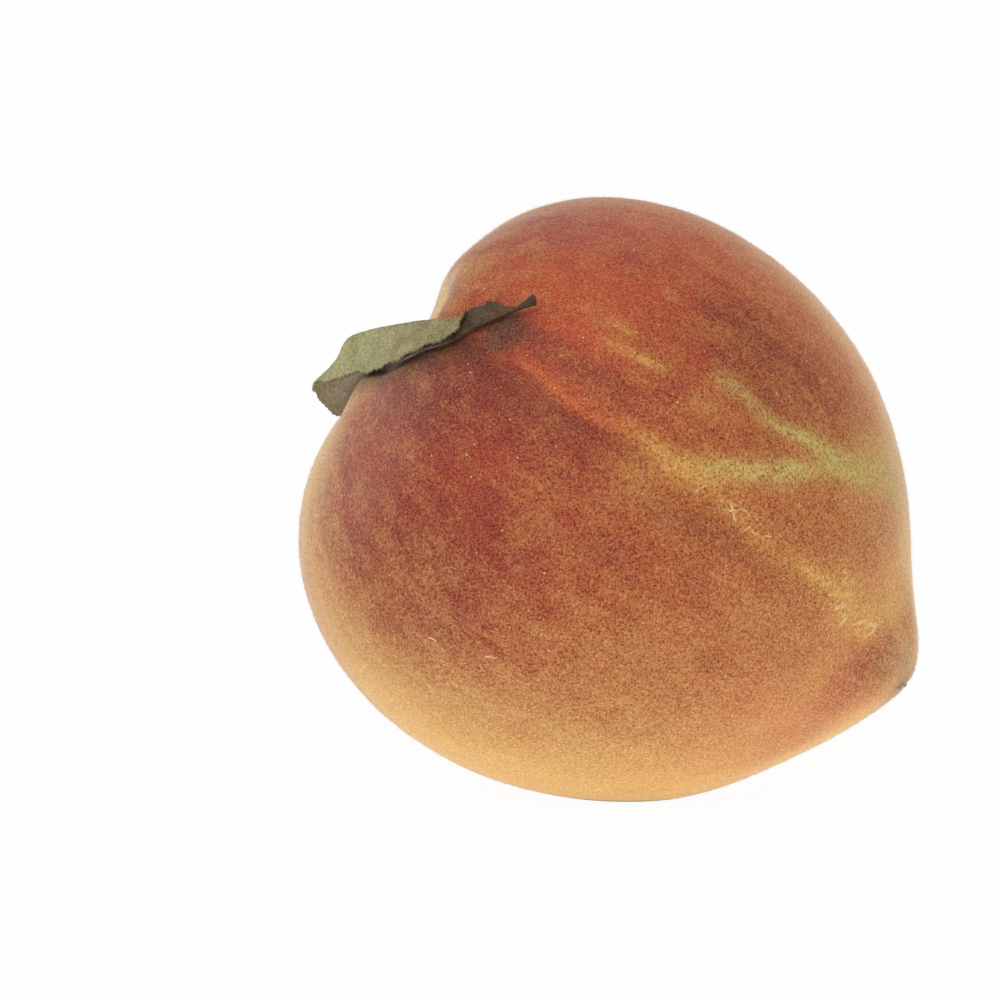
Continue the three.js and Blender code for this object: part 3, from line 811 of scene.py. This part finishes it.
under = blade - blade_normal * (half + VEIN_OUT * vein_height)[..., None]
over = blade + blade_normal * (half - VEIN_SUNK * vein_height)[..., None]
leaf_rings = np.concatenate([under, over[:, ::-1]], axis=1)
leaf_ends = smooth_curve(guides, np.array([0.0, 1.0])).mean(axis=1)
leaf = closed_surface("leaf_blade", leaf_rings[:, ::-1], leaf_ends[0], leaf_ends[1])


def both_sides(values, over_sign=1.0):
    """A value of the blade for the vertices of its under side and then of its upper side."""
    return with_poles(np.concatenate([values, over_sign * values[:, ::-1]], axis=1)[:, ::-1])


CREST_SHARE, CREST_FAINTER, BROWN_WIDTH = 0.34, 0.006, 0.016  # of the way across the blade
put_attribute(leaf, "along", both_sides(along))
put_attribute(leaf, "veins", both_sides(np.clip(rib + 0.7 * side_veins, 0, 1) * on_blade))
put_attribute(leaf, "outside", (both_sides(np.ones_like(along), -1.0) + 1) / 2)
from_edge = np.minimum(np.minimum(across, 1 - across), np.abs(across - CREST_SHARE) + CREST_FAINTER)
put_attribute(leaf, "near_edge", both_sides(bell(from_edge, 0, BROWN_WIDTH)))

# A peach leaf dried on the tree: dull and slightly leathery. Its pale under side is outside, as it folded
# over. Towards its tip it is olive there, grey inside and paler in its veins. It is brown towards its
# stalk, and along its crest and its margins, where it dries first. Inside, towards the stalk and under the
# fold, its near-black brown is partly its own and partly painted shade.
LEAF_BLOTCH_SIZE, LEAF_GRAIN_SIZE = 2.5 * METRES, 0.24 * METRES
VEIN_PALENESS, MARGIN_BROWNNESS = 0.16, 0.7
leaf_material, tree, shader = new_material("dried_leaf", 0.62, 0.35)
place = add_node(tree, "TexCoord").outputs["Object"]
outside, veins, margin, reach_along = (
    add_node(tree, "Attribute", attribute_name=name).outputs["Fac"]
    for name in ("outside", "veins", "near_edge", "along")
)
leaf_blotch = add_node(
    tree, "TexNoise", {"Vector": place, "Scale": 1 / LEAF_BLOTCH_SIZE, "Detail": 6.0, "Roughness": 0.65}
).outputs["Fac"]
leaf_grain = add_node(
    tree, "TexNoise", {"Vector": place, "Scale": 1 / LEAF_GRAIN_SIZE, "Detail": 3.0, "Roughness": 0.7}
).outputs["Fac"]
blotch_steps = add_node(
    tree, "MapRange", {"Value": leaf_blotch, "From Min": 0.36, "From Max": 0.64}
).outputs[0]
outer_fade = add_node(
    tree, "MapRange", {"Value": reach_along, "From Min": 0.34, "From Max": 0.74}
).outputs[0]
outer_base = laid_over(colour("#665636"), blotch_steps, colour("#8C7854"))
outer_tip = laid_over(colour("#918E5F"), blotch_steps, colour("#AEA579"))
outer = laid_over(outer_base, outer_fade, outer_tip)
base_fade = add_node(
    tree, "MapRange", {"Value": reach_along, "From Min": 0.45, "From Max": 0.84}
).outputs[0]
# Inside towards the stalk: dark brown of its own, deepened with painted shade where it lies under the fold
inner_base = laid_over(colour("#392D1E"), blotch_steps, colour("#5A4530"))
inner_tip = laid_over(colour("#827C6C"), leaf_blotch, colour("#ABA291"))
inner = laid_over(inner_base, base_fade, inner_tip)
paint = laid_over(inner, outside, outer)
vein_mix = add_node(tree, "Math", {0: veins, 1: VEIN_PALENESS}, operation="MULTIPLY").outputs[0]
vein_mix = add_node(tree, "Math", {0: vein_mix, 1: base_fade}, operation="MULTIPLY").outputs[0]
paint = laid_over(paint, vein_mix, colour("#B5A886"))
edge_mix = add_node(tree, "Math", {0: margin, 1: MARGIN_BROWNNESS}, operation="MULTIPLY").outputs[0]
paint = laid_over(paint, edge_mix, colour("#453527"))
speckle = add_node(
    tree,
    "MapRange",
    {"Value": leaf_grain, "From Min": 0.35, "From Max": 0.65, "To Min": 0.5, "To Max": 1.5},
).outputs[0]
paint = add_node(tree, "VectorMath", {0: paint, "Scale": speckle}, operation="SCALE").outputs[0]
tree.links.new(paint, shader.inputs["Base Color"])
bump = add_node(
    tree, "Bump", {"Height": leaf_grain, "Strength": 0.5, "Distance": 0.05 * METRES}
).outputs[0]
tree.links.new(bump, shader.inputs["Normal"])
leaf.data.materials.append(leaf_material)
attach(leaf, "root")
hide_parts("leaf")

# ---- Down ----
# The short pale hairs that stand on the skin of a peach, evenly spread and at every slant. There
# are none on or just above the flat spot, on the cavity's floor or under the leaf.

HAIR_COUNT = 42000
HAIR_LENGTHS, HAIR_RADIUS, HAIR_SLANT, ROOT_DEPTH = (0.18, 0.5), 0.017, 0.9, 0.06
TABLE_CLEAR, FLOOR_POLAR, LEAF_CLEAR, LEAF_POLAR = 1.5, 8, 1.8, 70

# The hairs' feet lie along a golden spiral from pole to pole, each shifted a little, and each hair
# is a pyramid with three sides
draw = np.random.default_rng(21)
step_number = np.arange(HAIR_COUNT) + 0.5
hair_polar = np.degrees(np.arccos(1 - 2 * step_number / HAIR_COUNT)) + draw.normal(0, 0.3, HAIR_COUNT)
hair_polar = np.clip(hair_polar, 0.5, 179.5)
hair_azimuth = (step_number * 180 * (3 - np.sqrt(5))) % 360 + draw.normal(0, 1, HAIR_COUNT)
foot, hair_out = finished_skin(hair_polar, hair_azimuth)
slant = draw.normal(size=(HAIR_COUNT, 3)) * HAIR_SLANT
hair_way = hair_out + slant - hair_out * (slant * hair_out).sum(axis=1, keepdims=True)
hair_way /= np.linalg.norm(hair_way, axis=1, keepdims=True)
leaf_spots = blade[::8, ::6].reshape(-1, 3)
to_leaf = np.full(HAIR_COUNT, np.inf)
near_leaf = np.flatnonzero(hair_polar < LEAF_POLAR)
to_leaf[near_leaf] = np.sqrt(((foot[near_leaf, None] - leaf_spots[None]) ** 2).sum(axis=-1)).min(axis=1)
kept = (foot[:, 2] > TABLE_CLEAR) & (hair_polar > FLOOR_POLAR) & (to_leaf > LEAF_CLEAR)
foot, hair_out, hair_way = foot[kept], hair_out[kept], hair_way[kept]
length = draw.uniform(*HAIR_LENGTHS, len(foot))[:, None]
across_hair = np.cross(hair_way, hair_out + 0.01)
across_hair /= np.linalg.norm(across_hair, axis=1, keepdims=True)
third_way = np.cross(hair_way, across_hair)
root_ring = [
    foot - ROOT_DEPTH * hair_out + HAIR_RADIUS * (np.cos(turn) * across_hair + np.sin(turn) * third_way)
    for turn in 2 * np.pi * np.arange(3) / 3
]
hair_points = np.stack([*root_ring, foot + length * hair_way], axis=1).reshape(-1, 3)
hair_start = 4 * np.arange(len(foot))[:, None, None]
hair_faces = (hair_start + np.array([[0, 1, 3], [1, 2, 3], [2, 0, 3], [2, 1, 0]])[None]).reshape(-1, 3)
down = new_piece("fruit_down", hair_points, hair_faces.tolist())

# Fine plant hair: pale cream and matt, so that it lightens the skin where it is seen edge on.
down_material, tree, shader = new_material("peach_down", 0.8, 0.2)
shader.inputs["Base Color"].default_value = colour("#D9B48C")
down.data.materials.append(down_material)
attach(down, "root")

# ---- Stalk stub ----
# The short woody stub of the stalk that stays in the cavity when the fruit is picked: dry bark with
# lengthwise ridges, flared at the top, where it parted from the twig and left a sunken scar.

STUB_GAP = 0.3  # above the floor of the cavity
STUB_RADIUS, STUB_LENGTH, STUB_FLARE = 1.5, 5.5, 0.35
STUB_SIDES, STUB_STEPS = 96, 90
FIBRE_SIZE = 0.5 * METRES


def turned(profile, sides, steps, shape):
    """A profile of (radius, height) stations carried round the fruit's axis: a Catmull-Rom curve
    through them, whose radius is multiplied by a shape of (angle, share of the way along)."""
    share = np.linspace(0, 1, steps)
    radius, height = smooth_curve(np.array(profile, float), share).T
    angle = 2 * np.pi * np.arange(sides) / sides
    grid_share, grid_angle = np.meshgrid(share[1:-1], angle, indexing="ij")
    r = np.maximum(radius[1:-1, None], 0.02) * shape(grid_angle, grid_share)
    z = height[1:-1, None] + 0 * grid_angle
    rings = np.stack([r * np.cos(grid_angle), r * np.sin(grid_angle), z], axis=-1)
    return rings, np.array([0, 0, height[0]]), np.array([0, 0, height[-1]])


def bark(angle, share):
    """One, less 7% in the depth of 11 uneven furrows, cusps of |sine|^0.6, plus a fine fibre."""
    furrows = np.abs(np.sin(5.5 * angle + 0.7 * np.sin(6 * share))) ** 0.6
    return 0.93 + 0.07 * furrows + 0.015 * np.sin(23 * angle + 9 * share)


floor_height = skin(np.array([0.0]), np.array([0.0]))[0, 2] + STUB_GAP
stub_profile = [
    (0, 0), (0.5 * STUB_RADIUS, 0.25), (STUB_RADIUS, 1.1), (0.93 * STUB_RADIUS, 0.4 * STUB_LENGTH),
    (0.95 * STUB_RADIUS, 0.75 * STUB_LENGTH), (STUB_RADIUS + STUB_FLARE, 0.92 * STUB_LENGTH),
    (STUB_RADIUS + 0.7 * STUB_FLARE, STUB_LENGTH), (0.4 * STUB_RADIUS, STUB_LENGTH - 0.15),
    (0, STUB_LENGTH - 0.25),
]
stub_rings, stub_foot, stub_top = turned(stub_profile, STUB_SIDES, STUB_STEPS, bark)
lift = np.array([0, 0, floor_height])
stub = closed_surface(
    "stalk_stub", laid(stub_rings + lift)[:, ::-1], laid(stub_foot + lift), laid(stub_top + lift)
)

# Dry bark: dull grey brown, darker in its furrows, paler and fibrous where it broke.
bark_material, tree, shader = new_material("dry_stalk_bark", 0.85, 0.25)
place = add_node(tree, "TexCoord").outputs["Object"]
fibre = add_node(
    tree, "TexNoise", {"Vector": place, "Scale": 1 / FIBRE_SIZE, "Detail": 6.0, "Roughness": 0.7}
).outputs["Fac"]
furrow = add_node(tree, "MapRange", {"Value": fibre, "From Min": 0.35, "From Max": 0.65}).outputs[0]
paint = laid_over(colour("#3F2E20"), furrow, colour("#8B7150"))
tree.links.new(paint, shader.inputs["Base Color"])
bump = add_node(tree, "Bump", {"Height": fibre, "Strength": 0.7, "Distance": 0.1 * METRES}).outputs[0]
tree.links.new(bump, shader.inputs["Normal"])
stub.data.materials.append(bark_material)
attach(stub, "root")
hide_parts("stem_stub")

# ---- Dried style ----
# What is left of the flower's style at the tip: a shrivelled brown thread end under a millimetre
# long, that stands in its pit and is bent and broken off.

STYLE_RADIUS, STYLE_LENGTH, STYLE_SUNK, STYLE_BEND = 0.48, 0.7, 0.15, 0.4
STYLE_SIDES, STYLE_STEPS = 32, 28
FRAY_SIZE = 0.2 * METRES


def shrivelled(angle, share):
    """One, plus three deep folds that twist along it."""
    return 1 + 0.18 * np.sin(3 * angle + 4 * share) + 0.06 * np.sin(7 * angle - 6 * share)


style_profile = [
    (0, -STYLE_LENGTH), (0.45 * STYLE_RADIUS, 0.05 - STYLE_LENGTH),
    (0.7 * STYLE_RADIUS, -0.6 * STYLE_LENGTH), (STYLE_RADIUS, -0.25 * STYLE_LENGTH),
    (0.9 * STYLE_RADIUS, 0), (0, 0),
]
style_rings, style_end, style_base = turned(style_profile, STYLE_SIDES, STYLE_STEPS, shrivelled)
lift = np.array([0, 0, skin(np.array([180.0]), np.array([0.0]))[0, 2] + STYLE_SUNK])
bent_way = np.array([0.6, -0.8, 0.0])  # it lies over towards the lower cheek


def bent(points):
    """Points moved sideways by the square of their way down the style."""
    return points + STYLE_BEND * (np.minimum(points[..., 2:], 0) / STYLE_LENGTH) ** 2 * bent_way


style = closed_surface(
    "dried_style",
    laid(bent(style_rings) + lift)[:, ::-1],
    laid(bent(style_end) + lift),
    laid(bent(style_base) + lift),
)

# Dried plant thread: matt, nearly black brown, greyer where it frays.
style_material, tree, shader = new_material("dried_style_fibre", 0.9)
place = add_node(tree, "TexCoord").outputs["Object"]
fray = add_node(tree, "TexNoise", {"Vector": place, "Scale": 1 / FRAY_SIZE, "Detail": 4.0}).outputs["Fac"]
paint = laid_over(colour("#463628"), fray, colour("#86705A"))
tree.links.new(paint, shader.inputs["Base Color"])
style.data.materials.append(style_material)
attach(style, "root")
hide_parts("style_remnant")

# ---- Room ----
# A plain white table that is lit from beneath, in a white room with one large soft lamp above and
# in front. The camera sees the table and the room as a nearly even white.

TABLE_HALF = 3000
table_corners = np.array([(-1, -1, 0), (1, -1, 0), (1, 1, 0), (-1, 1, 0)]) * TABLE_HALF
table_top = new_piece("table_top", table_corners, [(0, 1, 2, 3)])
table_material, tree, shader = new_material("white_table", 1.0, 0.0)
shader.inputs["Base Color"].default_value = (0.9, 0.9, 0.9, 1)
glow = add_node(tree, "Emission", {"Color": (1, 1, 1, 1), "Strength": 1.0})
seen = add_node(tree, "LightPath").outputs["Is Camera Ray"]
SHOWN_WHITE = 0.96  # the rest shows the table itself, which carries the fruit's shadow
seen = add_node(tree, "Math", {0: seen, 1: SHOWN_WHITE}, operation="MULTIPLY").outputs[0]
both = add_node(tree, "MixShader", {0: seen, 1: shader.outputs[0], 2: glow.outputs[0]})
tree.links.new(both.outputs[0], tree.nodes["Material Output"].inputs["Surface"])
table_top.data.materials.append(table_material)

ROOM_LIGHT = 0.65
world = bpy.data.worlds.new("white_room")
bpy.context.scene.world = world
world.use_nodes = True
tree = world.node_tree
tree.nodes.clear()
seen = add_node(tree, "LightPath").outputs["Is Camera Ray"]
strength = add_node(tree, "MapRange", {"Value": seen, "To Min": ROOM_LIGHT, "To Max": 1.0}).outputs[0]
sky = add_node(tree, "Background", {"Color": (1, 1, 1, 1), "Strength": strength})
add_node(tree, "OutputWorld", {"Surface": sky.outputs[0]})

LAMP_AIM = 0.04  # about half the fruit's height, in metres, as the lamps' sizes and distances are


def soft_lamp(name, size, watts, distance, azimuth_degrees, elevation_degrees):
    """A round lamp that faces the fruit from an azimuth and elevation, as seen from the fruit."""
    light = bpy.data.lights.new(name, "AREA")
    light.shape, light.size, light.energy = "DISK", size, watts
    placed = bpy.data.objects.new(name, light)
    bpy.context.collection.objects.link(placed)
    turn, lift = np.radians(azimuth_degrees), np.radians(elevation_degrees)
    way = np.array([np.sin(turn) * np.cos(lift), -np.cos(turn) * np.cos(lift), np.sin(lift)])
    placed.location = way * distance + np.array([0, 0, LAMP_AIM])
    placed.rotation_euler = (np.pi / 2 - lift, 0, turn)
    return placed


soft_lamp("soft_lamp", size=0.7, watts=4.4, distance=1.2, azimuth_degrees=-15, elevation_degrees=45)

# The table stands for a pane of opal glass lit from beneath, which lifts the fruit's underside: a
# weak lamp that faces up, just above the table's top. Its watts are its level * pi * its area.
GLOW_SIZE, GLOW_LEVEL, GLOW_HEIGHT = 0.6, 0.35, 0.0005
glow_watts = GLOW_LEVEL * np.pi * np.pi * GLOW_SIZE**2 / 4
table_glow = soft_lamp("table_glow", GLOW_SIZE, glow_watts, LAMP_AIM - GLOW_HEIGHT, 0, -90)
table_glow.visible_camera = False

# The camera looks along +Y from 10 degrees above the table, through a long lens.
CAMERA_ELEVATION = np.radians(10)
CAMERA_DISTANCE, CAMERA_LENS = 1.736, 500.0
CAMERA_AIM = np.array([-15.75, 0.74, 36.84]) * METRES
camera = bpy.data.cameras.new("camera")
camera.lens = CAMERA_LENS
camera.clip_end = 20
camera_object = bpy.data.objects.new("camera", camera)
bpy.context.collection.objects.link(camera_object)
camera_back = np.array([0, -np.cos(CAMERA_ELEVATION), np.sin(CAMERA_ELEVATION)])
camera_object.location = CAMERA_AIM + camera_back * CAMERA_DISTANCE
camera_object.rotation_euler = (np.pi / 2 - CAMERA_ELEVATION, 0, 0)
bpy.context.scene.camera = camera_object
bpy.context.scene.view_settings.view_transform = "Standard"
